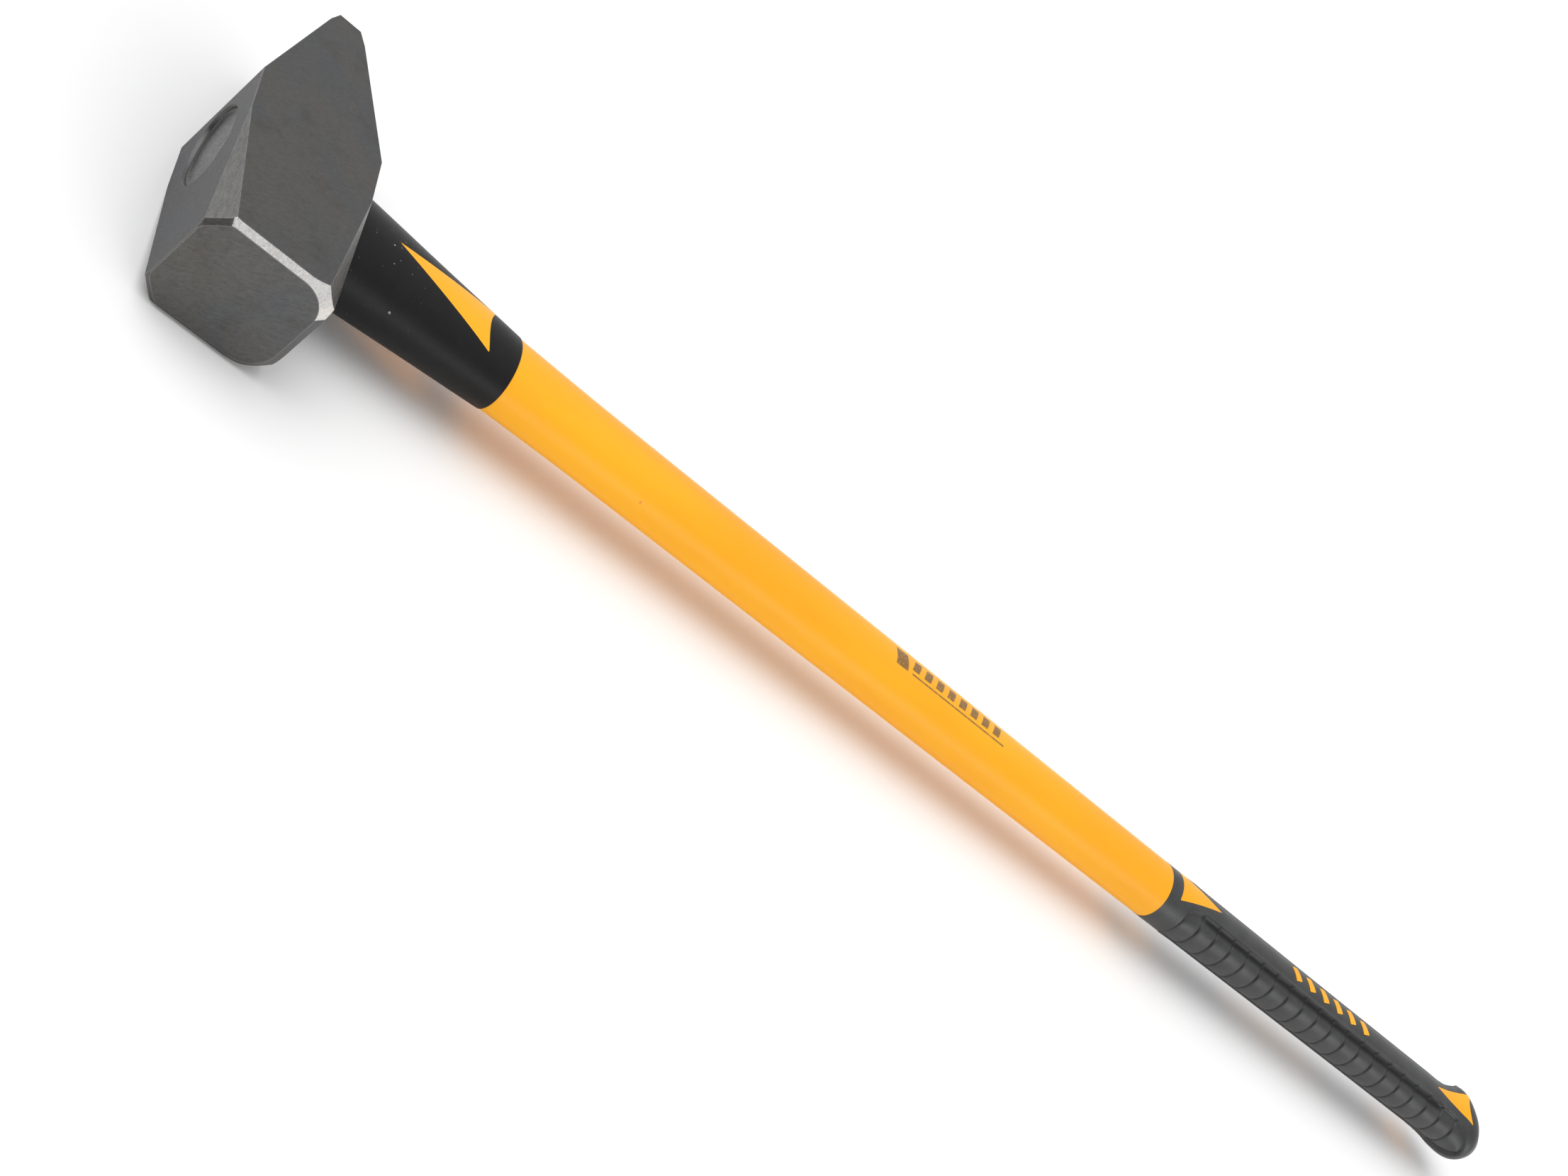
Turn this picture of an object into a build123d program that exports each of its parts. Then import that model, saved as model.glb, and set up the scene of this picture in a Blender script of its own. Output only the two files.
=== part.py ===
"""Cross-pein sledgehammer: forged head bonded on a glass-fibre-cored handle.

Frame: the hammer lies on a cheek.  X runs along the handle from the head to
the butt, Y from the striking face to the pein, Z up from the lower cheek.
The origin is on the lower cheek, under the centre of the eye.  Millimetres.
"""
import os

from build123d import *

# ---- head -------------------------------------------------------------------
HEAD_WIDTH = 56.2                 # cheek to cheek
HEAD_DEPTH = 63.6                 # eye top to neck side
HALF = HEAD_DEPTH / 2
AXIS_Z = HEAD_WIDTH / 2           # height of the handle axis above the lower cheek
FACE_REACH = 77.1                 # handle axis to the striking face
SHOULDER_REACH = 29.0             # handle axis to the line where the pein starts to taper
PEIN_REACH = 106.9                # handle axis to the pein edge
PEIN_HALF_EDGE = 5.8              # half thickness of the blunt pein edge
PEIN_LIP_LENGTH = 8.0             # last stretch of the pein, ground to a steeper taper
PEIN_LIP_HALF = 9.6               # half thickness where that stretch starts
CORNER_CUT = 9.3                  # corner flats at the striking face
FLATS_END_REACH = 0.0             # handle axis to where the corner flats fade out
FACE_BEVEL = 5.0                  # depth of the bevel round the striking face
MARGIN_TOP = 1.2                  # width of the bevel on the eye-top side
MARGIN_NECK = 4.6                 # on the neck side
MARGIN_CHEEK = 3.4                # on both cheeks
MARGIN_FLAT = 2.7                 # at the two corner flats beside the eye top
FACE_RADIUS_TOP = 5.0             # corners of the face beside the eye top
FACE_RADIUS_NECK = 14.0           # corners of the face on the neck side
EDGE_ROUND = 0.7                  # broken edges of the forging

# ---- eye: an oval hole that narrows to a waist -------------------------------
EYE_MOUTH = (24.5, 16.5)          # half axes (Y, Z) where the hole opens
EYE_WAIST = (21.5, 14.0)          # half axes halfway through
RESIN_RECESS = 2.5                # resin stands this much below the eye's upper mouth
SEAL_THICKNESS = 4.0

# ---- handle -----------------------------------------------------------------
BUTT_X = 861.0
NECK_END_X = 127.0                # rubber neck sleeve ends
GRIP_START_X = 578.5              # rubber grip starts
CORE_HALF = (11.0, 9.0)           # glass-fibre rod, half axes (Y, Z)
CORE_END_X = 822.0
SLEEVE_THICKNESS = 2.4            # rubber over the jacket

# stations of the outer handle surface: x, half axis in Y, half axis in Z
NECK_STATIONS = ((HALF, 30.8, 22.2), (80.0, 26.6, 18.9), (NECK_END_X, 22.4, 16.0))
SHAFT_STATIONS = (
    (NECK_END_X, 22.0, 15.6),
    (180.0, 20.5, 15.1),
    (340.0, 19.2, 15.0),
    (GRIP_START_X, 16.9, 14.9),
)
GRIP_STATIONS = ((GRIP_START_X, 17.0, 15.0), (690.0, 16.1, 14.4), (805.0, 15.9, 14.2))
# stations of the slanted knob: x, centre in Y, half axis in Y, half axis in Z
KNOB_STATIONS = (
    (805.0, 0.0, 15.9, 14.2),
    (822.0, 0.0, 16.2, 14.3),
    (832.0, 1.4, 18.1, 15.8),
    (840.0, 2.0, 20.0, 17.4),
    (848.0, -2.6, 17.6, 15.3),
    (855.0, -4.8, 12.0, 10.4),
    (BUTT_X, -5.6, 4.0, 3.5),
)
KNOB_FILL_END = 4                 # the jacket fills the knob up to this many stations

# ---- grip ribs ----------------------------------------------------------------
RIB_FIRST_X = 594.8
RIB_PITCH = 12.5
RIB_COUNT = 20
RIB_DEPTH = 0.8
RIB_WIDTH = 1.4
STRIP_HALF_WIDTH = 7.8            # smooth strip along the grip, on both cheek sides

# ---- lands of the jacket that show through the rubber -------------------------
# each outline is a dart: tip x, base x, half width of the base, hollow of the base
NECK_DART = (53.0, 111.5, 14.0, 4.0)
GRIP_DART = (619.0, 586.5, 10.6, 0.4)
BUTT_DART = (812.0, 843.0, 9.8, 4.5)
# generic bars moulded along the grip's smooth strip: first x, pitch, count, slant
BAR_FIRST_X = 684.0
BAR_PITCH = 12.0
BAR_COUNT = 6
BAR_SIZE = (5.0, 8.4)
BAR_SLANT = 20.0

os.makedirs("parts", exist_ok=True)


def oval(x, half_y, half_z, centre_y=0.0):
    """An ellipse across the handle at x, as a sketch for a loft."""
    plane = Plane(origin=(x, centre_y, AXIS_Z), x_dir=(0, 1, 0), z_dir=(1, 0, 0))
    with BuildSketch(plane) as section:
        Ellipse(half_y, half_z)
    return section.sketch


def oval_body(stations, shrink=0.0):
    """A body lofted through oval stations, optionally with a smaller outline."""
    sections = []
    for station in stations:
        x = station[0]
        half_y, half_z = station[-2:]
        centre_y = station[1] if len(station) == 4 else 0.0
        sections.append(oval(x, half_y - shrink, half_z - shrink, centre_y))
    with BuildPart() as body:
        loft(sections=sections)
    return body.part


def dart(shape, bottom, top):
    """A vertical prism with a dart outline, from bottom to top in Z."""
    tip_x, base_x, half_width, hollow = shape
    toward_tip = 1 if tip_x > base_x else -1
    with BuildPart() as prism:
        with BuildSketch(Plane.XY.offset(bottom)):
            with BuildLine():
                Line((tip_x, 0), (base_x, half_width))
                ThreePointArc(
                    (base_x, half_width),
                    (base_x + toward_tip * hollow, 0),
                    (base_x, -half_width),
                )
                Line((base_x, -half_width), (tip_x, 0))
            make_face()
        extrude(amount=top - bottom)
    return prism.part


# =============================== forged head ==================================
face_plane = Plane(
    origin=(0, -FACE_REACH, AXIS_Z),
    x_dir=(1, 0, 0),
    z_dir=(0, -1, 0),
)
face_left = -HALF + MARGIN_TOP
face_right = HALF - MARGIN_NECK
face_high = AXIS_Z - MARGIN_CHEEK
# along a corner flat's edge of the face, -x + y (or -x - y) has this value
face_flat = HALF + AXIS_Z - CORNER_CUT - 2**0.5 * MARGIN_FLAT

with BuildSketch() as face_outline:
    with BuildLine():
        Polyline(
            (face_right, face_high),
            (face_high - face_flat, face_high),
            (face_left, face_flat + face_left),
            (face_left, -face_flat - face_left),
            (face_high - face_flat, -face_high),
            (face_right, -face_high),
            close=True,
        )
    make_face()
    by_x = face_outline.vertices().sort_by(Axis.X)
    fillet(by_x[-2:], FACE_RADIUS_NECK)
    by_x = face_outline.vertices().sort_by(Axis.X)
    fillet(by_x[:4], FACE_RADIUS_TOP)

# the pyramid with coned corners that bounds the bevelled end of the block
with BuildPart() as bevel_core:
    with BuildSketch(face_plane):
        add(face_outline.sketch)
    with BuildSketch(face_plane.offset(-FACE_BEVEL)):
        add(face_outline.sketch)
        offset(amount=FACE_BEVEL)
    loft(ruled=True)

with BuildPart() as bevel_cutter:
    with BuildSketch(face_plane.offset(-FACE_BEVEL)):
        Rectangle(2 * HEAD_WIDTH, 2 * HEAD_WIDTH)
    extrude(amount=3 * FACE_BEVEL)
    add(bevel_core.part, mode=Mode.SUBTRACT)

with BuildPart() as hammer_head:
    # outline seen from the cheek: block, wedge pein and its blunt edge
    with BuildSketch():
        with BuildLine():
            Polyline(
                (-HALF, -FACE_REACH - FACE_BEVEL),
                (HALF, -FACE_REACH - FACE_BEVEL),
                (HALF, SHOULDER_REACH),
                (PEIN_LIP_HALF, PEIN_REACH - PEIN_LIP_LENGTH),
                (PEIN_HALF_EDGE, PEIN_REACH),
                (-PEIN_HALF_EDGE, PEIN_REACH),
                (-PEIN_LIP_HALF, PEIN_REACH - PEIN_LIP_LENGTH),
                (-HALF, SHOULDER_REACH),
                close=True,
            )
        make_face()
    extrude(amount=HEAD_WIDTH)
    fillet(hammer_head.edges().filter_by(Axis.Z).group_by(Axis.Y)[-1], EDGE_ROUND)
    # corner flats: each plane starts on a long edge beside the eye and cuts deepest at the face
    flat_length = FACE_REACH + FLATS_END_REACH
    for side_x in (-1, 1):
        for side_z in (-1, 1):
            corner = Vector(side_x * HALF, FLATS_END_REACH, AXIS_Z + side_z * AXIS_Z)
            on_side = corner + Vector(0, -flat_length, -side_z * CORNER_CUT)
            on_cheek = corner + Vector(-side_x * CORNER_CUT, -flat_length, 0)
            normal = (on_side - corner).cross(on_cheek - corner)
            if normal.X * side_x < 0:
                normal = -normal
            split(bisect_by=Plane(origin=corner, z_dir=normal), keep=Keep.BOTTOM)
    add(bevel_cutter.part, mode=Mode.SUBTRACT)
    # oval eye, waisted halfway through
    for mouth_x in (-HALF, HALF):
        loft(
            sections=[oval(mouth_x, *EYE_MOUTH), oval(0, *EYE_WAIST)],
            mode=Mode.SUBTRACT,
        )
hammer_head.part.label = "hammer_head"

# =========================== glass-fibre core rod =============================
with BuildPart() as core_rod:
    add(oval_body(((-HALF + RESIN_RECESS, *CORE_HALF), (CORE_END_X, *CORE_HALF))))
core_rod.part.label = "core_rod"

# ================== resin in the eye, and the seal below it ===================
with BuildPart() as eye_space:
    for mouth_x in (-HALF, HALF):
        loft(sections=[oval(mouth_x, *EYE_MOUTH), oval(0, *EYE_WAIST)])

with BuildPart() as eye_resin:
    add(eye_space.part)
    split(bisect_by=Plane.YZ.offset(-HALF + RESIN_RECESS), keep=Keep.TOP)
    split(bisect_by=Plane.YZ.offset(HALF - SEAL_THICKNESS), keep=Keep.BOTTOM)
    add(core_rod.part, mode=Mode.SUBTRACT)
eye_resin.part.label = "eye_resin"

with BuildPart() as eye_seal:
    add(eye_space.part)
    split(bisect_by=Plane.YZ.offset(HALF - SEAL_THICKNESS), keep=Keep.TOP)
    add(core_rod.part, mode=Mode.SUBTRACT)
eye_seal.part.label = "eye_seal"

# ====================== moulded jacket with its lands =========================
neck_outer = oval_body(NECK_STATIONS)
grip_outer = oval_body(GRIP_STATIONS)
knob_outer = oval_body(KNOB_STATIONS)

with BuildPart() as handle_jacket:
    add(oval_body(NECK_STATIONS, SLEEVE_THICKNESS))
    add(oval_body(SHAFT_STATIONS))
    add(oval_body(GRIP_STATIONS, SLEEVE_THICKNESS))
    add(oval_body(KNOB_STATIONS[:KNOB_FILL_END], SLEEVE_THICKNESS))
    # darts that stand up to the rubber's surface on both cheek sides
    for outline, skin in (
        (NECK_DART, neck_outer),
        (GRIP_DART, grip_outer),
        (BUTT_DART, knob_outer),
    ):
        add(skin & dart(outline, 0, HEAD_WIDTH))
    # generic slanted bars along the smooth strip of the grip
    for index in range(BAR_COUNT):
        bar_x = BAR_FIRST_X + index * BAR_PITCH
        with BuildPart(mode=Mode.PRIVATE) as bar:
            with BuildSketch(Plane.XY):
                with Locations((bar_x, 0)):
                    Rectangle(*BAR_SIZE, rotation=BAR_SLANT)
            extrude(amount=HEAD_WIDTH)
        add(grip_outer & bar.part)
    add(core_rod.part, mode=Mode.SUBTRACT)
handle_jacket.part.label = "handle_jacket"

# ============================ rubber neck sleeve ==============================
with BuildPart() as neck_sleeve:
    add(neck_outer)
    add(handle_jacket.part, mode=Mode.SUBTRACT)
    add(core_rod.part, mode=Mode.SUBTRACT)
neck_sleeve.part.label = "neck_sleeve"

# ======================= rubber grip with knob and ribs =======================
with BuildPart() as rib_cutter:
    # rings round the grip; the smooth strips on the cheek sides stay uncut
    for index in range(RIB_COUNT):
        rib_x = RIB_FIRST_X + index * RIB_PITCH
        with BuildSketch(Plane.YZ.offset(rib_x - RIB_WIDTH / 2)):
            with Locations((0, AXIS_Z)):
                Rectangle(2 * HEAD_WIDTH, 2 * HEAD_WIDTH)
        extrude(amount=RIB_WIDTH)
    add(oval_body(GRIP_STATIONS, RIB_DEPTH), mode=Mode.SUBTRACT)
    add(oval_body(KNOB_STATIONS[:KNOB_FILL_END + 1], RIB_DEPTH), mode=Mode.SUBTRACT)
    with BuildSketch(Plane.XY):
        with Locations(((GRIP_START_X + BUTT_X) / 2, 0)):
            Rectangle(BUTT_X - GRIP_START_X, 2 * STRIP_HALF_WIDTH)
    extrude(amount=HEAD_WIDTH, mode=Mode.SUBTRACT)

with BuildPart() as grip_sleeve:
    add(grip_outer)
    add(knob_outer)
    add(rib_cutter.part, mode=Mode.SUBTRACT)
    add(handle_jacket.part, mode=Mode.SUBTRACT)
    add(core_rod.part, mode=Mode.SUBTRACT)
grip_sleeve.part.label = "grip_sleeve"

# ================================ write STEP ==================================
for piece in (
    hammer_head,
    core_rod,
    eye_resin,
    eye_seal,
    handle_jacket,
    neck_sleeve,
    grip_sleeve,
):
    export_step(piece.part, f"parts/{piece.part.label}.step")
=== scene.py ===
"""Looks of the cross-pein sledgehammer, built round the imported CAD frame.

The frame is in metres: X runs along the handle to the butt, Y from the
striking face to the pein, and Z up from the lower cheek.  Shapes below are
worked out in millimetres in the same frame and scaled when a mesh is made.
"""
import math

import bmesh
import bpy
from mathutils import Matrix, Vector


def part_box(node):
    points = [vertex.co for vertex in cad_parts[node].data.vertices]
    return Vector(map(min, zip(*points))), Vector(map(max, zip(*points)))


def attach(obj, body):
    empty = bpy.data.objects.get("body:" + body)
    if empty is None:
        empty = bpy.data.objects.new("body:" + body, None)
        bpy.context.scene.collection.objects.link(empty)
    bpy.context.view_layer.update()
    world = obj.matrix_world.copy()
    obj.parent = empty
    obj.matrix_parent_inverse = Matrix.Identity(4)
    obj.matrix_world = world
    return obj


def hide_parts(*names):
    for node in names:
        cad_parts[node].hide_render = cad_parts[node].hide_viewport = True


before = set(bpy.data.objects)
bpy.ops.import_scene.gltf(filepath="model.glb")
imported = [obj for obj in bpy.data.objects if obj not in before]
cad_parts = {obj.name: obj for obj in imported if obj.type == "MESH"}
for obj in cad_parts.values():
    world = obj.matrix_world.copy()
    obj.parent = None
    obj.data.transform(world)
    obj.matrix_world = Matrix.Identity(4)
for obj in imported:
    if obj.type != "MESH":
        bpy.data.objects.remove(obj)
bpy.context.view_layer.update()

MM = 0.001

# ---- sizes taken from the frame, in millimetres -----------------------------
HEAD_LOW, HEAD_HIGH = [[value / MM for value in corner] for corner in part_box("hammer_head")]
HALF = (HEAD_HIGH[0] - HEAD_LOW[0]) / 2
AXIS_Z = (HEAD_LOW[2] + HEAD_HIGH[2]) / 2
FACE_REACH = -HEAD_LOW[1]
PEIN_REACH = HEAD_HIGH[1]
NECK_START_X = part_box("neck_sleeve")[0][0] / MM
NECK_END_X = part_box("neck_sleeve")[1][0] / MM
GRIP_START_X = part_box("grip_sleeve")[0][0] / MM
BUTT_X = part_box("grip_sleeve")[1][0] / MM
RESIN_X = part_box("eye_resin")[0][0] / MM

# ---- head ----------------------------------------------------------------------
SHOULDER_REACH = 29.0
PEIN_HALF_EDGE = 5.8
PEIN_LIP_LENGTH = 8.0
PEIN_LIP_HALF = 9.6
CORNER_CUT = 9.3
FLATS_END_REACH = 0.0
FACE_BEVEL = 5.0
MARGIN_TOP = 1.2
MARGIN_NECK = 4.6
MARGIN_CHEEK = 3.4
MARGIN_FLAT = 2.7
FACE_RADIUS_TOP = 5.0
FACE_RADIUS_NECK = 14.0
FACE_CROWN = 0.7                  # the striking face is very slightly domed
WORN_EDGE = 1.0                   # width of the worn long edges; other edges are half as wide
DOME_RINGS = (0.97, 0.92, 0.85, 0.76, 0.64, 0.5, 0.34, 0.18)
EYE_FLARE = ((1.0, 1.6), (0.0, 0.75), (-0.6, 0.35), (-1.4, 0.1), (-2.4, 0.0))
EYE_POINTS = 128
EYE_MOUTH = (24.5, 16.5)
EYE_WAIST = (21.5, 14.0)

# ---- handle: x, centre in Y, half axis in Y, half axis in Z ----------------------
NECK_STATIONS = (
    (NECK_START_X, 0.0, 30.8, 22.2),
    (80.0, 0.0, 26.6, 18.9),
    (127.0, 0.0, 22.4, 16.0),
)
SHAFT_STATIONS = (
    (127.0, 0.0, 22.0, 15.6),
    (180.0, 0.0, 20.5, 15.1),
    (340.0, 0.0, 19.2, 15.0),
    (578.5, 0.0, 16.9, 14.9),
)
GRIP_STATIONS = (
    (578.5, 0.0, 17.0, 15.0),
    (690.0, 0.0, 16.1, 14.4),
    (805.0, 0.0, 15.9, 14.2),
    (822.0, 0.0, 16.2, 14.3),
    (832.0, 1.4, 18.1, 15.8),
    (840.0, 2.0, 20.0, 17.4),
    (848.0, -2.6, 17.6, 15.3),
    (855.0, -4.8, 12.0, 10.4),
    (BUTT_X, -5.6, 0.0, 0.0),
)
SLEEVE_THICKNESS = 2.4
RING_POINTS = 192

# ---- grip panels ------------------------------------------------------------------
RIB_FIRST_X = 594.8
RIB_PITCH = 12.5
RIB_COUNT = 20
RIDGE_Y = 7.6                     # ridge lines run this far from the middle of the strip
PANEL_CORNER = 15.0               # length over which the panel's first corner is rounded
PANEL_TAIL_X = 813.0              # the ridge lines start to curl round the knob here
PANEL_END_X = 846.5
KNOB_FINE_X = 834.0               # from here to the butt the grip's rings are evenly spaced

# darts of the yellow jacket: tip x, base x, half width of the base, hollow of the base
NECK_DART = (53.0, 111.5, 14.0, 4.0)
GRIP_DART = (619.0, 586.5, 10.6, 0.4)
BUTT_DART = (812.0, 843.0, 9.8, 4.5)
BAR_FIRST_X = 684.0
BAR_PITCH = 12.0
BAR_COUNT = 6
BAR_SIZE = (5.0, 8.4)
BAR_SLANT = math.radians(20.0)
# plain printed mark on the shaft
MARK_START_X = 380.0
MARK_END_X = 446.0
MARK_PITCH = 8.25


# =============================== mesh helpers =====================================
def new_object(name, body, materials, smooth_angle=None):
    """A scene object from a bmesh in millimetres."""
    bmesh.ops.scale(body, vec=(MM, MM, MM), verts=body.verts)
    bmesh.ops.recalc_face_normals(body, faces=body.faces)
    mesh = bpy.data.meshes.new(name)
    body.to_mesh(mesh)
    body.free()
    for material in materials:
        mesh.materials.append(material)
    piece = bpy.data.objects.new(name, mesh)
    bpy.context.scene.collection.objects.link(piece)
    if smooth_angle is not None:
        shade_smooth(piece, smooth_angle)
    return piece


def shade_smooth(piece, angle):
    piece.data.shade_smooth()
    piece.data.set_sharp_from_angle(angle=angle)


def apply_modifiers(piece):
    graph = bpy.context.evaluated_depsgraph_get()
    mesh = bpy.data.meshes.new_from_object(piece.evaluated_get(graph))
    piece.modifiers.clear()
    old = piece.data
    piece.data = mesh
    bpy.data.meshes.remove(old)


def carve(piece, tools, operation="DIFFERENCE"):
    """Exact boolean of a piece with throw-away tools."""
    for tool in tools:
        modifier = piece.modifiers.new("carve", "BOOLEAN")
        modifier.operation = operation
        modifier.solver = "EXACT"
        modifier.object = tool
    apply_modifiers(piece)
    for tool in tools:
        bpy.data.objects.remove(tool)


def join(pieces, name):
    """One object from several, which keep their materials."""
    body = bmesh.new()
    for piece in pieces:
        body.from_mesh(piece.data)
    mesh = bpy.data.meshes.new(name)
    body.to_mesh(mesh)
    body.free()
    for material in pieces[0].data.materials:
        mesh.materials.append(material)
    joined = bpy.data.objects.new(name, mesh)
    bpy.context.scene.collection.objects.link(joined)
    for piece in pieces:
        bpy.data.objects.remove(piece)
    return joined


def ring_mesh(rings, close_loop=False, cap_ends=False):
    """A bmesh from rings of points; each ring joins the next, in millimetres."""
    body = bmesh.new()
    grid = [[body.verts.new(point) for point in ring] for ring in rings]
    pairs = list(zip(grid, grid[1:]))
    if close_loop:
        pairs.append((grid[-1], grid[0]))
    for lower, upper in pairs:
        count = len(lower)
        for index in range(count):
            after = (index + 1) % count
            body.faces.new((lower[index], lower[after], upper[after], upper[index]))
    if cap_ends:
        body.faces.new(reversed(grid[0]))
        body.faces.new(grid[-1])
    return body


# =============================== handle surface ===================================
def smooth_value(stations, x, column):
    """A value of the stations at x, on a smooth curve through all of them."""
    squared = column > 1
    points = [(row[0], row[column] ** 2 if squared else row[column]) for row in stations]
    last = len(points) - 2
    span = max(index for index in range(last + 1) if points[index][0] <= x or index == 0)
    x0, v0 = points[span]
    x1, v1 = points[span + 1]

    def slope(index):
        before = points[max(index - 1, 0)]
        after = points[min(index + 1, len(points) - 1)]
        return (after[1] - before[1]) / (after[0] - before[0])

    width = x1 - x0
    t = (x - x0) / width
    value = (
        (2 * t**3 - 3 * t**2 + 1) * v0
        + (t**3 - 2 * t**2 + t) * width * slope(span)
        + (3 * t**2 - 2 * t**3) * v1
        + (t**3 - t**2) * width * slope(span + 1)
    )
    return math.sqrt(max(value, 0.0)) if squared else value


def oval_ring(stations, x, offset=0.0, relief=None):
    """Points of the handle's outline at x, moved out by offset and by a relief."""
    centre = smooth_value(stations, x, 1)
    half_y = smooth_value(stations, x, 2)
    half_z = smooth_value(stations, x, 3)
    ring = []
    for index in range(RING_POINTS):
        angle = 2 * math.pi * index / RING_POINTS
        out = offset + (relief(x, angle, half_y) if relief else 0.0)
        reach_y = max(half_y + out, 0.02)
        reach_z = max(half_z + out, 0.02)
        y = centre + reach_y * math.cos(angle)
        z = AXIS_Z + reach_z * math.sin(angle)
        ring.append((x, y, z))
    return ring


def steps(start, end, size):
    count = max(1, round((end - start) / size))
    return [start + (end - start) * index / count for index in range(count + 1)]


def smooth_step(low, high, value):
    t = min(max((value - low) / (high - low), 0.0), 1.0)
    return t * t * (3 - 2 * t)


def dart_prism(dart, scale=1.0, bottom=0.0, top=60.0):
    """A throw-away upright prism with a dart outline and rounded points."""
    tip_x, base_x, half_width, hollow = dart
    toward_tip = 1 if tip_x > base_x else -1
    outline = [Vector((tip_x, 0, bottom))]
    arc_points = 16
    for index in range(arc_points + 1):
        side = 1 - 2 * index / arc_points
        dip = toward_tip * hollow * (1 - side * side)
        outline.append(Vector((base_x + dip, half_width * side, bottom)))
    middle = Vector(((tip_x + 2 * base_x) / 3, 0, bottom))
    body = bmesh.new()
    corners = [body.verts.new(middle + (point - middle) * scale) for point in outline]
    body.faces.new(corners)
    sharp = [corners[0], corners[1], corners[-1]]
    bmesh.ops.bevel(
        body, geom=sharp, offset=0.9, segments=4, profile=0.5, affect="VERTICES",
    )
    pushed = bmesh.ops.extrude_face_region(body, geom=body.faces[:])
    moved = [item for item in pushed["geom"] if isinstance(item, bmesh.types.BMVert)]
    bmesh.ops.translate(body, vec=(0, 0, top - bottom), verts=moved)
    return new_object("tool", body, [])


def bar_prism(x, bottom, top):
    """A throw-away upright prism with a slanted bar outline."""
    body = bmesh.new()
    bmesh.ops.create_cube(body, size=1)
    bmesh.ops.scale(body, vec=(BAR_SIZE[0], BAR_SIZE[1], top - bottom), verts=body.verts)
    upright = [
        edge for edge in body.edges
        if abs(edge.verts[0].co.z - edge.verts[1].co.z) > 1
    ]
    bmesh.ops.bevel(
        body, geom=upright, offset=0.6, segments=3, profile=0.5, affect="EDGES",
    )
    turn = Matrix.Rotation(BAR_SLANT, 4, "Z")
    shift = Matrix.Translation((x, 0, (bottom + top) / 2))
    bmesh.ops.transform(body, matrix=shift @ turn, verts=body.verts)
    return new_object("tool", body, [])


# =============================== node helpers =====================================
class Shader:
    """A material's node tree, with short calls to add and link nodes."""

    def __init__(self, name):
        self.material = bpy.data.materials.new(name)
        self.material.use_nodes = True
        self.tree = self.material.node_tree
        self.surface = self.tree.nodes["Principled BSDF"]
        self.place = self.add("ShaderNodeTexCoord").outputs["Object"]

    def add(self, kind, settings=None, inputs=None):
        node = self.tree.nodes.new(kind)
        for key, value in (settings or {}).items():
            setattr(node, key, value)
        for key, value in (inputs or {}).items():
            self.put(node.inputs[key], value)
        return node

    def put(self, socket, value):
        if isinstance(value, bpy.types.NodeSocket):
            self.tree.links.new(value, socket)
        else:
            socket.default_value = value

    def math(self, operation, first, second=0.0, third=0.0, clamp=False):
        node = self.add(
            "ShaderNodeMath",
            {"operation": operation, "use_clamp": clamp},
            {0: first, 1: second, 2: third},
        )
        return node.outputs[0]

    def noise(self, scale, detail=4.0, roughness=0.5, place=None, distortion=0.0):
        node = self.add(
            "ShaderNodeTexNoise",
            {},
            {
                "Vector": place or self.place,
                "Scale": scale,
                "Detail": detail,
                "Roughness": roughness,
                "Distortion": distortion,
            },
        )
        return node.outputs["Fac"]

    def spread(self, value, low, high, out_low=0.0, out_high=1.0):
        node = self.add(
            "ShaderNodeMapRange",
            {"interpolation_type": "SMOOTHSTEP"},
            {
                "Value": value,
                "From Min": low,
                "From Max": high,
                "To Min": out_low,
                "To Max": out_high,
            },
        )
        return node.outputs[0]

    def window(self, value, low, high, soft):
        """One between low and high, falling to nothing over a soft edge."""
        rise = self.spread(value, low - soft, low + soft)
        fall = self.spread(value, high - soft, high + soft, 1.0, 0.0)
        return self.math("MULTIPLY", rise, fall)

    def blend(self, factor, first, second, kind="MIX"):
        node = self.add("ShaderNodeMix", {"data_type": "RGBA", "blend_type": kind})
        self.put(node.inputs[0], factor)
        self.put(node.inputs[6], first)
        self.put(node.inputs[7], second)
        return node.outputs[2]

    def axes(self):
        split = self.add("ShaderNodeSeparateXYZ", {}, {0: self.place})
        return split.outputs[0], split.outputs[1], split.outputs[2]

    def stretched(self, direction, stretch):
        """Coordinates in which patterns come out drawn out along a direction."""
        turn = Vector(direction).rotation_difference(Vector((1, 0, 0))).to_euler()
        turned = self.add(
            "ShaderNodeMapping", {}, {"Vector": self.place, "Rotation": turn[:]}
        )
        squeezed = self.add(
            "ShaderNodeMapping",
            {},
            {"Vector": turned.outputs[0], "Scale": (1 / stretch, 1, 1)},
        )
        return squeezed.outputs[0]

    def bump(self, height, distance, strength=1.0):
        node = self.add(
            "ShaderNodeBump",
            {},
            {"Height": height, "Distance": distance, "Strength": strength},
        )
        self.put(self.surface.inputs["Normal"], node.outputs[0])

    def set(self, **values):
        for key, value in values.items():
            self.put(self.surface.inputs[key.replace("_", " ")], value)


def grey(value, warmth=0.0):
    """A linear colour of a given brightness, warm for positive warmth."""
    return (value * (1 + warmth), value, value * (1 - warmth), 1)


# =============================== materials ========================================
GRIND_DIRECTION = (0.85, 0.35, 0.45)


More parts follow.
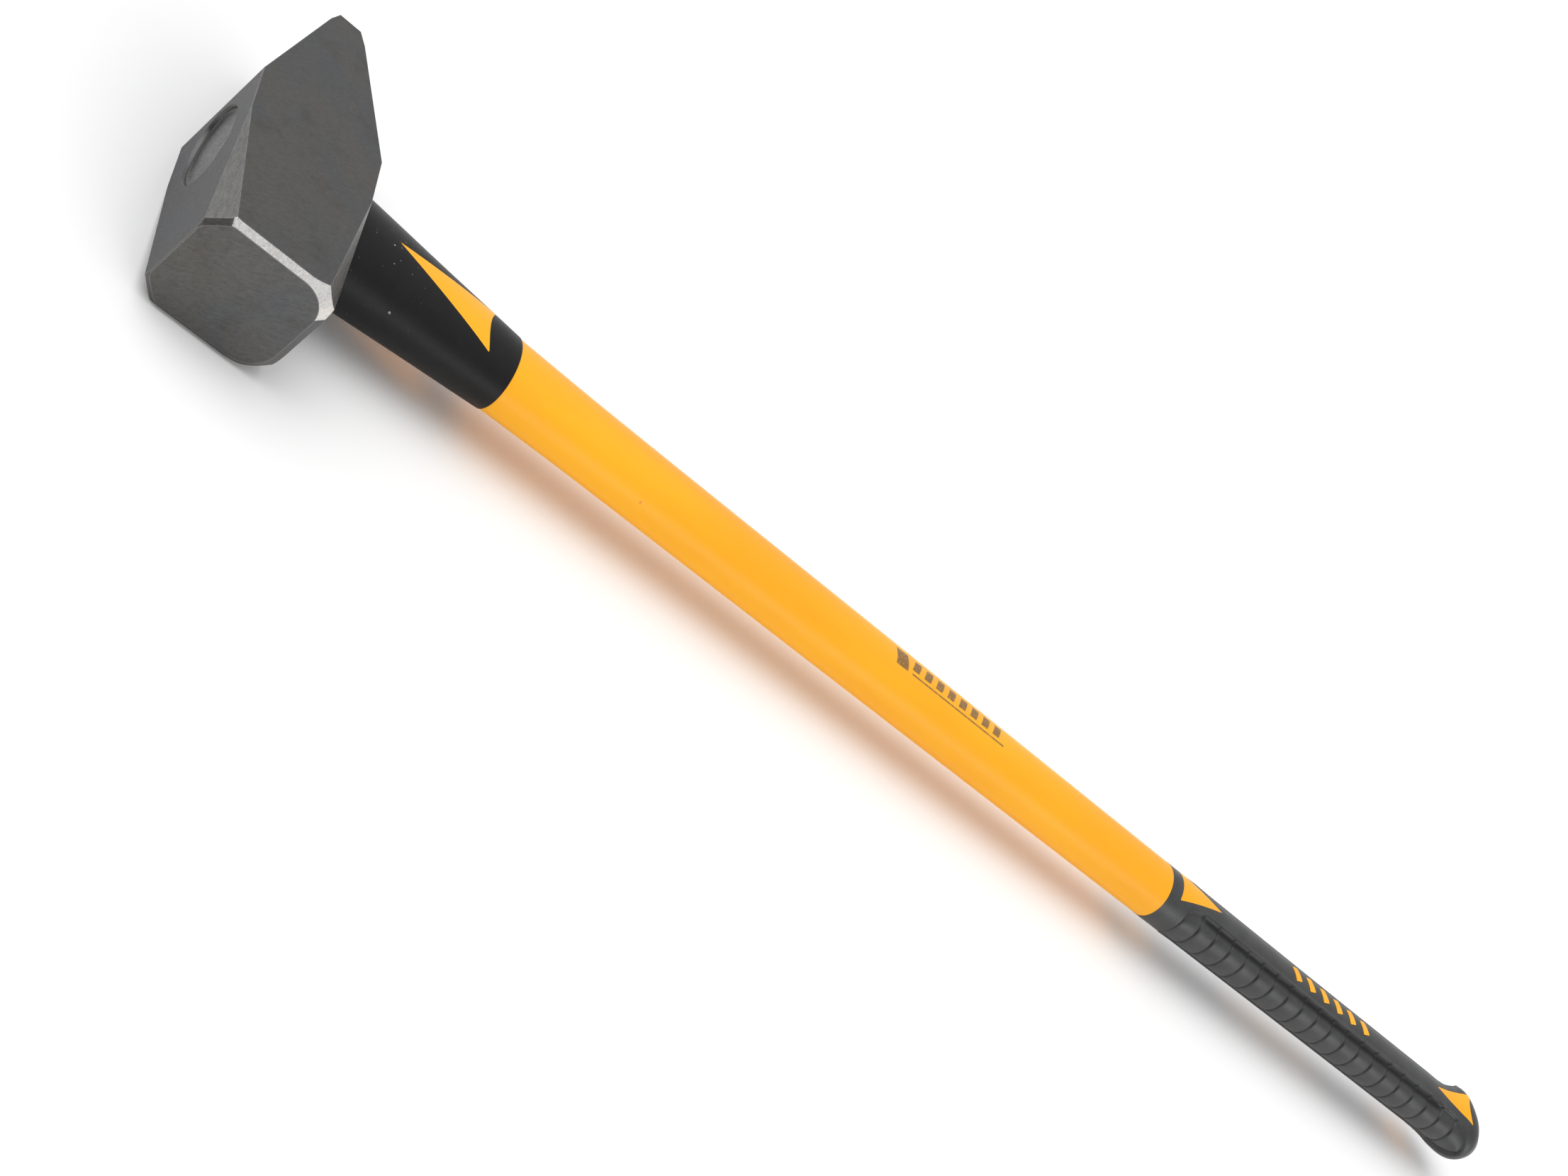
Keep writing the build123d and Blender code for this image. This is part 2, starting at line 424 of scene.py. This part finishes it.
def steel_dark(name, level, warm, cool):
    """Ground and lacquered forging: dark, with drawn grinding marks and stains."""
    shader = Shader(name)
    grind = shader.noise(2600, 3, 0.6, shader.stretched(GRIND_DIRECTION, 20))
    coarse = shader.noise(800, 3, 0.6, shader.stretched(GRIND_DIRECTION, 9))
    stain = shader.noise(22, 4, 0.6, distortion=0.6)
    patch = shader.noise(60, 5, 0.65)
    tone = shader.blend(shader.spread(stain, 0.35, 0.65), warm, cool)
    olive = (0.075, 0.068, 0.052, 1)
    tone = shader.blend(shader.spread(patch, 0.52, 0.75, 0.0, 0.5), tone, olive)
    lines = shader.math(
        "ADD", shader.math("MULTIPLY", grind, 0.5), shader.math("MULTIPLY", coarse, 0.5)
    )
    bright = shader.spread(lines, 0.32, 0.68, 0.84 * level, 1.16 * level)
    tone = shader.blend(1.0, tone, bright, "MULTIPLY")
    rough = shader.spread(lines, 0.3, 0.7, 0.36, 0.48)
    shader.set(Base_Color=tone, Metallic=1.0, Roughness=rough)
    shader.bump(lines, 0.00004, 0.6)
    return shader.material


def steel_ground(name, level, heat_tint):
    """Bright ground steel of the corner flats and the bevel round the face."""
    shader = Shader(name)
    grain = shader.noise(1700, 4, 0.75)
    drawn = shader.noise(900, 3, 0.6, shader.stretched((0.1, 1.0, 0.1), 6))
    heat = shader.noise(48, 3, 0.5)
    warm = (level * 0.98, level * 0.84, level * 0.7, 1)
    tinted = shader.spread(heat, 0.5, 0.72, 0.0, heat_tint)
    tone = shader.blend(tinted, (level, level * 0.99, level * 0.97, 1), warm)
    lines = shader.math(
        "ADD", shader.math("MULTIPLY", grain, 0.6), shader.math("MULTIPLY", drawn, 0.4)
    )
    bright = shader.spread(lines, 0.32, 0.68, 0.78, 1.18)
    tone = shader.blend(1.0, tone, bright, "MULTIPLY")
    rough = shader.spread(lines, 0.3, 0.7, 0.24, 0.42)
    shader.set(Base_Color=tone, Metallic=1.0, Roughness=rough)
    shader.bump(lines, 0.00006, 0.7)
    return shader.material


def rubber(name, base, lift, sheen_rough, gloss, dust=(), painted_panel_shade=False):
    """Matt moulded rubber with a fine grain, faint scuffs and dust; the grip's panels can also get painted
    shade.
    """
    shader = Shader(name)
    grain = shader.noise(3200, 3, 0.6)
    cloud = shader.noise(90, 4, 0.6)
    scuff = shader.noise(260, 5, 0.7)
    tone = shader.blend(shader.spread(cloud, 0.35, 0.7), grey(base, 0.0), grey(base * lift, -0.04))
    tone = shader.blend(shader.spread(scuff, 0.62, 0.8, 0.0, 0.3), tone, grey(base * 2.2, 0.03))
    if dust:
        along = shader.math("MULTIPLY", shader.axes()[0], 1 / MM)
        speck = shader.spread(shader.noise(480, 2, 0.5), 0.71, 0.76)
        dusty = shader.math("MULTIPLY", speck, shader.window(along, *dust, 8.0))
        tone = shader.blend(shader.math("MULTIPLY", dusty, 0.7), tone, grey(0.4))
    if painted_panel_shade:
        # painted shade: the hollow of each panel is painted darker beside its ridge line, and its gloss is
        # lowered there
        beside = shader.math("ABSOLUTE", shader.math("MULTIPLY", shader.axes()[1], 1 / MM))
        hollow = shader.window(beside, RIDGE_Y + 0.9, RIDGE_Y + 3.6, 1.6)
        along = shader.math("MULTIPLY", shader.axes()[0], 1 / MM)
        length = shader.window(along, RIB_FIRST_X + 12, PANEL_TAIL_X + 6, 6.0)
        hollow = shader.math("MULTIPLY", hollow, length)
        tone = shader.blend(shader.math("MULTIPLY", hollow, 0.8), tone, grey(0.003))
        gloss = shader.spread(hollow, 0.0, 1.0, gloss, gloss * 0.35)
    rough = shader.spread(grain, 0.3, 0.7, sheen_rough - 0.05, sheen_rough + 0.07)
    shader.set(Base_Color=tone, Roughness=rough, Specular_IOR_Level=gloss)
    shader.bump(grain, 0.00012, 0.55)
    return shader.material


def print_mark(shader):
    """Mask of a plain printed mark on the upper cheek side of the shaft."""
    x, y, z = (shader.math("MULTIPLY", axis, 1 / MM) for axis in shader.axes())
    upper = shader.math("GREATER_THAN", z, AXIS_Z)
    slant = shader.math("SUBTRACT", x, shader.math("MULTIPLY", y, 0.35))
    run = shader.math("DIVIDE", shader.math("SUBTRACT", slant, MARK_START_X), MARK_PITCH)
    beat = shader.math("MULTIPLY", shader.math("FRACT", run), MARK_PITCH)
    bars = shader.window(beat, 0.6, MARK_PITCH - 3.0, 0.3)
    bars = shader.math("MULTIPLY", bars, shader.window(slant, MARK_START_X, MARK_END_X, 0.3))
    bars = shader.math("MULTIPLY", bars, shader.window(y, -2.6, 5.6, 0.3))
    line = shader.window(x, MARK_START_X, MARK_END_X, 0.3)
    line = shader.math("MULTIPLY", line, shader.window(y, -5.6, -4.6, 0.3))
    block = shader.window(x, MARK_START_X - 11.0, MARK_START_X - 3.0, 0.3)
    block = shader.math("MULTIPLY", block, shader.window(y, -5.6, 5.6, 0.3))
    shape = shader.math("MAXIMUM", shader.math("MAXIMUM", bars, line), block)
    return shader.math("MULTIPLY", shape, upper)


def yellow_plastic():
    """Satin yellow jacket with faint flow marks and a few orange specks."""
    shader = Shader("yellow_jacket")
    flow = shader.noise(24, 4, 0.5, shader.stretched((1, 0, 0), 5))
    pore = shader.noise(1800, 3, 0.5)
    speck = shader.noise(170, 2, 0.5)
    tone = shader.blend(shader.spread(flow, 0.35, 0.65), (0.9, 0.37, 0.005, 1), (0.95, 0.43, 0.007, 1))
    tone = shader.blend(shader.spread(speck, 0.77, 0.8), tone, (0.8, 0.22, 0.02, 1))
    ink = shader.noise(700, 3, 0.6)
    faded = shader.math("MULTIPLY", print_mark(shader), shader.spread(ink, 0.3, 0.5, 0.55, 0.85))
    tone = shader.blend(faded, tone, (0.1, 0.065, 0.035, 1))
    rough = shader.spread(pore, 0.3, 0.7, 0.36, 0.46)
    shader.set(Base_Color=tone, Roughness=rough, Specular_IOR_Level=0.3)
    shader.bump(pore, 0.00005, 0.4)
    return shader.material


def resin():
    """Poured resin in the eye, grey with faint bubbles."""
    shader = Shader("eye_resin")
    cloud = shader.noise(120, 4, 0.6)
    bubble = shader.noise(900, 2, 0.5)
    tone = shader.blend(shader.spread(cloud, 0.3, 0.7), grey(0.02), grey(0.045))
    shader.set(Base_Color=tone, Roughness=shader.spread(bubble, 0.3, 0.7, 0.25, 0.4))
    shader.bump(bubble, 0.0002, 0.5)
    return shader.material


def foam():
    """Open dark foam of the seal below the resin."""
    shader = Shader("seal_foam")
    cells = shader.noise(1400, 3, 0.6)
    tone = shader.blend(shader.spread(cells, 0.3, 0.7), grey(0.03), grey(0.09))
    shader.set(Base_Color=tone, Roughness=0.9)
    shader.bump(cells, 0.0004, 0.8)
    return shader.material


def glass_fibre():
    """Pultruded rod: pale resin with fibres along the handle."""
    shader = Shader("glass_fibre")
    fibres = shader.noise(1600, 3, 0.6, shader.stretched((1, 0, 0), 40))
    tone = shader.blend(shader.spread(fibres, 0.3, 0.7), (0.42, 0.38, 0.24, 1), (0.7, 0.66, 0.5, 1))
    shader.set(Base_Color=tone, Roughness=0.45)
    shader.bump(fibres, 0.0001, 0.5)
    return shader.material


def floor_paint():
    """Plain pale floor, very slightly mottled."""
    shader = Shader("floor_paint")
    cloud = shader.noise(2.0, 4, 0.6)
    fine = shader.noise(160, 3, 0.5)
    tone = shader.blend(cloud, grey(0.9), grey(0.93))
    shader.set(Base_Color=tone, Roughness=0.8, Specular_IOR_Level=0.2)
    shader.bump(fine, 0.0002, 0.2)
    return shader.material


# =============================== forged head ======================================
def slice_off(body, point, outward):
    """Cut a convex body with a plane and close the cut."""
    everything = body.verts[:] + body.edges[:] + body.faces[:]
    cut = bmesh.ops.bisect_plane(
        body, geom=everything, plane_co=point, plane_no=outward, clear_outer=True,
    )
    rim = [item for item in cut["geom_cut"] if isinstance(item, bmesh.types.BMEdge)]
    if len(rim) > 2:
        return bmesh.ops.contextual_create(body, geom=rim)["faces"]
    return []


def eye_tool():
    """A throw-away body of the waisted oval eye, flared at both mouths."""
    rings = []
    profile = [(-HALF - past, flare) for past, flare in EYE_FLARE]
    profile.append((0.0, 0.0))
    profile += [(HALF + past, flare) for past, flare in reversed(EYE_FLARE)]
    for reach, flare in profile:
        share = min(abs(reach) / HALF, 1.0)
        half_y = EYE_WAIST[0] + (EYE_MOUTH[0] - EYE_WAIST[0]) * share + flare
        half_z = EYE_WAIST[1] + (EYE_MOUTH[1] - EYE_WAIST[1]) * share + flare
        ring = []
        for index in range(EYE_POINTS):
            angle = 2 * math.pi * index / EYE_POINTS
            ring.append((reach, half_y * math.cos(angle), AXIS_Z + half_z * math.sin(angle)))
        rings.append(ring)
    return new_object("tool", ring_mesh(rings, cap_ends=True), [])


def forged_head(materials):
    """The head cut plane by plane from a block, with worn edges and its eye."""
    body = bmesh.new()
    bmesh.ops.create_cube(body, size=1)
    length = PEIN_REACH + FACE_REACH + FACE_BEVEL
    bmesh.ops.scale(body, vec=(2 * HALF, length, 2 * AXIS_Z), verts=body.verts)
    middle = (0, PEIN_REACH - length / 2, AXIS_Z)
    bmesh.ops.translate(body, vec=middle, verts=body.verts)
    # wedge of the pein and the steeper lip at its edge
    for side in (-1, 1):
        shoulder = Vector((side * HALF, SHOULDER_REACH, 0))
        lip = Vector((side * PEIN_LIP_HALF, PEIN_REACH - PEIN_LIP_LENGTH, 0))
        edge = Vector((side * PEIN_HALF_EDGE, PEIN_REACH, 0))
        for start, end in ((shoulder, lip), (lip, edge)):
            run = end - start
            slice_off(body, start, Vector((side * run.y, -side * run.x, 0)))
    # corner flats, widest at the striking face
    flat_planes = []
    rim_planes = []
    block = FACE_REACH + FLATS_END_REACH
    for side_x in (-1, 1):
        for side_z in (-1, 1):
            corner = Vector((side_x * HALF, FLATS_END_REACH, AXIS_Z + side_z * AXIS_Z))
            on_side = Vector((0, -block, -side_z * CORNER_CUT))
            on_cheek = Vector((-side_x * CORNER_CUT, -block, 0))
            normal = on_side.cross(on_cheek).normalized()
            if normal.x * side_x < 0:
                normal = -normal
            slice_off(body, corner, normal)
            flat_planes.append((corner, normal))
    # the face and its bevel, one plane for each edge and a fan round each corner
    slice_off(body, Vector((0, FACE_CROWN - FACE_REACH, 0)), Vector((0, -1, 0)))
    for place, away in face_tangents():
        point = Vector((place.x, -FACE_REACH, AXIS_Z + place.y))
        normal = Vector((away.x, -1, away.y)).normalized()
        slice_off(body, point, normal)
        if away.y > 0.25 and away.x > -0.4:
            rim_planes.append((point, normal))
    bmesh.ops.remove_doubles(body, verts=body.verts, dist=0.02)
    for face in body.faces:
        middle = face.calc_center_median()
        # faces of the eye sides take the cheeks' steel painted darker, as painted shade
        face.material_index = 1 if abs(face.normal.x) > 0.8 else 0
        for index, planes in ((2, flat_planes), (3, rim_planes)):
            for point, normal in planes:
                if face.normal.dot(normal) > 0.9995 and abs((middle - point).dot(normal)) < 0.05:
                    face.material_index = index
    # break every real edge, the long ones most
    weights = body.edges.layers.float.new("bevel_weight_edge")
    for edge in body.edges:
        if edge.calc_face_angle(0.0) > math.radians(16):
            long_edge = all(
                HALF - abs(vertex.co.x) < 0.1 and AXIS_Z - abs(vertex.co.z - AXIS_Z) < 0.1
                for vertex in edge.verts
            )
            edge[weights] = 1.0 if long_edge else 0.5
    piece = new_object("hammer_head_forging", body, materials)
    edges = piece.modifiers.new("edges", "BEVEL")
    edges.width = WORN_EDGE * MM
    edges.segments = 3
    edges.limit_method = "WEIGHT"
    edges.material = 2
    apply_modifiers(piece)
    dome_face(piece)
    carve(piece, [eye_tool()])
    shade_smooth(piece, math.radians(40))
    weighted = piece.modifiers.new("weighted", "WEIGHTED_NORMAL")
    weighted.keep_sharp = True
    return piece


def face_tangents():
    """Tangent points and outward directions round the striking face's outline."""
    left = -HALF + MARGIN_TOP
    right = HALF - MARGIN_NECK
    high = AXIS_Z - MARGIN_CHEEK
    flat = HALF + AXIS_Z - CORNER_CUT - math.sqrt(2) * MARGIN_FLAT
    corners = [
        (Vector((right, high)), FACE_RADIUS_NECK),
        (Vector((high - flat, high)), FACE_RADIUS_TOP),
        (Vector((left, flat + left)), FACE_RADIUS_TOP),
        (Vector((left, -flat - left)), FACE_RADIUS_TOP),
        (Vector((high - flat, -high)), FACE_RADIUS_TOP),
        (Vector((right, -high)), FACE_RADIUS_NECK),
    ]
    tangents = []
    for index, (corner, radius) in enumerate(corners):
        before = (corner - corners[index - 1][0]).normalized()
        after = (corners[(index + 1) % len(corners)][0] - corner).normalized()
        first = Vector((before.y, -before.x))
        last = Vector((after.y, -after.x))
        pivot = corner - (first + last) * (radius / (1 + first.dot(last)))
        turn = math.acos(first.dot(last))
        fan = max(2, round(math.degrees(turn) / 7.5))
        for step in range(fan + 1):
            angle = math.atan2(first.y, first.x) + turn * step / fan
            away = Vector((math.cos(angle), math.sin(angle)))
            tangents.append((pivot + away * radius, away))
    return tangents


def dome_face(piece):
    """Raise the middle of the striking face, ring by ring."""
    body = bmesh.new()
    body.from_mesh(piece.data)
    facing = [face for face in body.faces if face.normal.y < -0.999]
    top = max(facing, key=lambda face: face.calc_area())
    outer = top.verts[:]
    outline = [vertex.co.copy() for vertex in outer]
    middle = Vector((0, outline[0].y, AXIS_Z * MM))
    bmesh.ops.delete(body, geom=[top], context="FACES_ONLY")
    for scale in DOME_RINGS:
        rise = Vector((0, -FACE_CROWN * MM * (1 - scale**2), 0))
        inner = [body.verts.new(middle + (place - middle) * scale + rise) for place in outline]
        for index in range(len(outer)):
            after = (index + 1) % len(outer)
            body.faces.new((outer[index], outer[after], inner[after], inner[index]))
        outer = inner
    body.faces.new(outer)
    bmesh.ops.recalc_face_normals(body, faces=body.faces)
    body.to_mesh(piece.data)
    body.free()


def eye_resin(material):
    """Resin with a raised rim where it wets the wall of the eye."""
    rings = []
    for inset, x in (
        (0.05, 20.0), (0.05, RESIN_X - 0.9), (0.5, RESIN_X - 0.5), (1.2, RESIN_X - 0.3),
        (2.4, RESIN_X - 0.2), (5.0, RESIN_X - 0.15), (13.0, RESIN_X - 0.15),
    ):
        share = abs(x) / HALF
        wall_y = EYE_WAIST[0] + (EYE_MOUTH[0] - EYE_WAIST[0]) * share - inset
        wall_z = EYE_WAIST[1] + (EYE_MOUTH[1] - EYE_WAIST[1]) * share - inset
        ring = []
        for index in range(EYE_POINTS):
            angle = 2 * math.pi * index / EYE_POINTS
            ring.append((x, wall_y * math.cos(angle), AXIS_Z + wall_z * math.sin(angle)))
        rings.append(ring)
    return new_object("eye_resin_fill", ring_mesh(rings, cap_ends=True), [material], math.radians(50))


# =============================== handle pieces ====================================
def tube(name, stations, start, end, size, materials, lip=0.5):
    """A closed sleeve between two places, rounded over at its far end."""
    rings = []
    for x in steps(start, end - lip, size):
        rings.append(oval_ring(stations, x))
    for turn in (30, 60, 90):
        angle = math.radians(turn)
        x = end - lip + lip * math.sin(angle)
        rings.append(oval_ring(stations, x, -lip * (1 - math.cos(angle))))
    for x in reversed(steps(start, end, 6.0)):
        rings.append(oval_ring(stations, x, -SLEEVE_THICKNESS))
    return new_object(name, ring_mesh(rings, close_loop=True), materials)


def neck_sleeve(material):
    """The neck's rubber, with a window for the jacket's dart."""
    piece = tube("neck_rubber_sleeve", NECK_STATIONS, NECK_START_X, NECK_END_X, 1.0, [material])
    carve(piece, [dart_prism(NECK_DART)])
    shade_smooth(piece, math.radians(35))
    return piece


def panel_edge(x, half_y):
    """Angle from the side of the grip to the edge of its ribbed panel."""
    ridge = math.acos(RIDGE_Y / max(half_y, RIDGE_Y + 0.1))
    if x < RIB_FIRST_X or x > PANEL_END_X:
        return -1.0
    if x < RIB_FIRST_X + PANEL_CORNER:
        t = 1 - (x - RIB_FIRST_X) / PANEL_CORNER
        return ridge * (1 - 0.45 * (1 - math.sqrt(max(1 - t**2, 0.0))))
    if x > PANEL_TAIL_X:
        t = (x - PANEL_TAIL_X) / (PANEL_END_X - PANEL_TAIL_X)
        return ridge * math.sqrt(max(1 - t**1.8, 0.0))
    return ridge


def rib_profile(x):
    """Depth of the grooves between the ribs, which are slightly rounded."""
    place = (x - RIB_FIRST_X) / RIB_PITCH
    nearest = min(max(round(place), 0), RIB_COUNT - 1)
    gap = abs(x - RIB_FIRST_X - nearest * RIB_PITCH)
    groove = -0.75 * math.exp(-((gap / 0.5) ** 2))
    crown = -0.32 * math.exp(-gap / 2.2)
    return groove + crown


def grip_relief(x, angle, half_y):
    """Height of the grip's ridges, panels and ribs over the plain oval."""
    from_side = math.acos(min(abs(math.cos(angle)), 1.0))
    inside = (panel_edge(x, half_y) - from_side) * 15.5
    ridge = 0.3 * math.exp(-((inside / 0.5) ** 2))
    if inside <= 0:
        return ridge
    lead_in = smooth_step(0.2, 1.6, inside)
    valley = -1.6 * lead_in * math.exp(-((inside / 6.0) ** 2))
    return ridge + valley + rib_profile(x) * smooth_step(0.3, 1.8, inside)


def grip_places():
    """Where the grip's rings stand: close together at each groove."""
    places = set(steps(GRIP_START_X, RIB_FIRST_X - 1.0, 1.2))
    for rib in range(RIB_COUNT):
        rib_x = RIB_FIRST_X + rib * RIB_PITCH
        for gap in (-1.0, -0.7, -0.5, -0.3, 0.0, 0.3, 0.5, 0.7, 1.0):
            places.add(rib_x + gap)
        for gap in (2.0, 3.5, 5.0, 6.25, 7.5, 9.0, 10.5):
            places.add(rib_x + gap)
    places = {x for x in places if x < KNOB_FINE_X}
    places.update(steps(KNOB_FINE_X + 0.5, BUTT_X - 2.0, 0.7))
    places.update((BUTT_X - 1.4, BUTT_X - 0.9, BUTT_X - 0.5, BUTT_X - 0.2, BUTT_X - 0.05))
    return sorted(places)


def grip_body(name, materials, relief):
    """The grip's rubber from its start round the butt, and back inside."""
    outer = [oval_ring(GRIP_STATIONS, x, 0.0, relief) for x in grip_places()]
    inner = [
        oval_ring(GRIP_STATIONS, x, -SLEEVE_THICKNESS)
        for x in steps(GRIP_START_X, BUTT_X - 9.0, 5.0)
    ]
    rings = list(reversed(inner)) + outer
    return new_object(name, ring_mesh(rings, cap_ends=True), materials)


def grip_sleeve(material):
    """The ribbed grip, with windows for the jacket's two darts."""
    piece = grip_body("grip_rubber_sleeve", [material], grip_relief)
    carve(piece, [dart_prism(GRIP_DART), dart_prism(BUTT_DART)])
    shade_smooth(piece, math.radians(45))
    return piece


def land(stations, dart, start, end, material, size=1.0):
    """Part of the jacket that stands up level with the rubber, in a dart's outline."""
    rings = [oval_ring(stations, x) for x in steps(start, end, size)]
    rings += [oval_ring(stations, x, -SLEEVE_THICKNESS - 0.4) for x in reversed(steps(start, end, 6.0))]
    piece = new_object("land", ring_mesh(rings, close_loop=True), [material])
    carve(piece, [dart_prism(dart, 0.996)], "INTERSECT")
    return piece


def bars(material):
    """Plain slanted bars that stand on the grip's smooth strips."""
    pieces = []
    for index in range(BAR_COUNT):
        x = BAR_FIRST_X + index * BAR_PITCH
        rings = [oval_ring(GRIP_STATIONS, place, 0.18) for place in steps(x - 6, x + 6, 1.0)]
        rings += [oval_ring(GRIP_STATIONS, place, -0.6) for place in reversed(steps(x - 6, x + 6, 1.0))]
        piece = new_object("bar", ring_mesh(rings, close_loop=True), [material])
        carve(piece, [bar_prism(x, 0.0, 2 * AXIS_Z)], "INTERSECT")
        pieces.append(piece)
    return pieces


def jacket(material):
    """The yellow jacket: its shaft and everything of it that shows in the rubber."""
    rings = [
        oval_ring(NECK_STATIONS, x, -SLEEVE_THICKNESS - 0.1)
        for x in steps(NECK_START_X + 1, NECK_END_X - 8, 8.0)
    ]
    rings += [oval_ring(SHAFT_STATIONS, x) for x in steps(NECK_END_X - 3, GRIP_START_X + 1, 2.0)]
    rings += [
        oval_ring(GRIP_STATIONS, x, -SLEEVE_THICKNESS - 0.1)
        for x in steps(GRIP_START_X + 4, BUTT_X - 14, 5.0)
    ]
    shaft = new_object("shaft", ring_mesh(rings, cap_ends=True), [material])
    pieces = [
        shaft,
        land(NECK_STATIONS, NECK_DART, 50, 115, material),
        land(GRIP_STATIONS, GRIP_DART, 583, 622, material),
        land(GRIP_STATIONS, BUTT_DART, 809, 846, material, 0.7),
        *bars(material),
    ]
    joined = join(pieces, "yellow_jacket_body")
    shade_smooth(joined, math.radians(35))
    return joined


# =============================== build ============================================
HEAD_STEELS = [
    steel_dark("steel_cheeks", 1.0, (0.118, 0.113, 0.106, 1), (0.105, 0.107, 0.11, 1)),
    # painted shade: the eye sides use the cheeks' steel at a lower level and a slightly bluer tone, standing
    # in for the dimmer light they reflect
    steel_dark("steel_eye_sides_painted_shade", 0.42, (0.1, 0.1, 0.1, 1), (0.1, 0.108, 0.125, 1)),
    steel_ground("steel_flats", 0.2, 0.0),
    steel_ground("steel_rim", 0.74, 1.0),
]
YELLOW = yellow_plastic()

for piece, node, slot in (
    (forged_head(HEAD_STEELS), "hammer_head", "forged_steel"),
    (eye_resin(resin()), "eye_resin", "eye_resin"),
    (jacket(YELLOW), "handle_jacket", "yellow_jacket"),
    (neck_sleeve(rubber("neck_rubber", 0.003, 1.6, 0.42, 0.22, (34.0, 70.0))), "neck_sleeve", "neck_rubber"),
    # painted light: the grip's rubber base is set lighter than the neck's, standing in for the light that
    # falls on the grip
    (
        # painted shade in the grip's panel hollows, beside the ridge lines
        grip_sleeve(rubber("grip_rubber", 0.024, 1.5, 0.36, 0.5, painted_panel_shade=True)),
        "grip_sleeve",
        "grip_rubber",
    ),
):
    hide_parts(node)
    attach(piece, "root")

for node, material in (("core_rod", glass_fibre()), ("eye_seal", foam())):
    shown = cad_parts[node]
    shown.data.materials.clear()
    shown.data.materials.append(material)

# =============================== stage ============================================
FLOOR_HALF_SIZE = 60000.0
floor_body = bmesh.new()
bmesh.ops.create_grid(floor_body, x_segments=12, y_segments=12, size=FLOOR_HALF_SIZE)
floor = new_object("floor", floor_body, [floor_paint()])


SURROUND = 0.75
# direction, full and fading half angles in degrees, and strength of each soft light
SOFT_LIGHTS = (
    ((0, 0, 1), 180, 181, SURROUND),
    ((-0.45, 0.1, 0.89), 18, 48, 1.6),
    ((0.46, -0.87, 0.1), 10, 30, 2.6),
    ((-0.46, -0.754, 0.469), 16, 46, -0.85 * SURROUND),
)


def studio_light():
    """An even pale surround with two soft lights and a dark gap between them."""
    world = bpy.data.worlds.new("studio")
    bpy.context.scene.world = world
    world.use_nodes = True
    tree = world.node_tree
    direction = tree.nodes.new("ShaderNodeTexCoord").outputs["Generated"]
    total = None
    for toward, inner, outer, strength in SOFT_LIGHTS:
        along = tree.nodes.new("ShaderNodeVectorMath")
        along.operation = "DOT_PRODUCT"
        tree.links.new(direction, along.inputs[0])
        along.inputs[1].default_value = Vector(toward).normalized()
        lobe = tree.nodes.new("ShaderNodeMapRange")
        lobe.interpolation_type = "SMOOTHSTEP"
        tree.links.new(along.outputs["Value"], lobe.inputs["Value"])
        lobe.inputs["From Min"].default_value = math.cos(math.radians(outer))
        lobe.inputs["From Max"].default_value = math.cos(math.radians(inner))
        if inner >= 180:
            lobe.inputs["From Min"].default_value = -3.0
            lobe.inputs["From Max"].default_value = -2.0
        lobe.inputs["To Max"].default_value = strength
        if total is None:
            total = lobe.outputs[0]
            continue
        adding = tree.nodes.new("ShaderNodeMath")
        tree.links.new(total, adding.inputs[0])
        tree.links.new(lobe.outputs[0], adding.inputs[1])
        total = adding.outputs[0]
    tree.links.new(total, tree.nodes["Background"].inputs["Strength"])
    tree.nodes["Background"].inputs["Color"].default_value = (1, 1, 1, 1)


studio_light()

# =============================== camera ===========================================
CAMERA_PLACE = Vector((-0.26952, -0.93591, 0.58629 + AXIS_Z * MM))
CAMERA_AIM = Vector((0.30637, 0.00692, AXIS_Z * MM))
CAMERA_ROLL = math.radians(54.35)

camera_data = bpy.data.cameras.new("camera")
camera_data.lens = 61.03
camera_data.sensor_width = 36.0
camera_data.clip_start = 0.01
camera = bpy.data.objects.new("camera", camera_data)
bpy.context.scene.collection.objects.link(camera)
aim = (CAMERA_AIM - CAMERA_PLACE).to_track_quat("-Z", "Y").to_matrix()
camera.matrix_world = (
    Matrix.Translation(CAMERA_PLACE)
    @ aim.to_4x4()
    @ Matrix.Rotation(CAMERA_ROLL, 4, "Z")
)
bpy.context.scene.camera = camera
bpy.context.scene.view_settings.view_transform = "Standard"
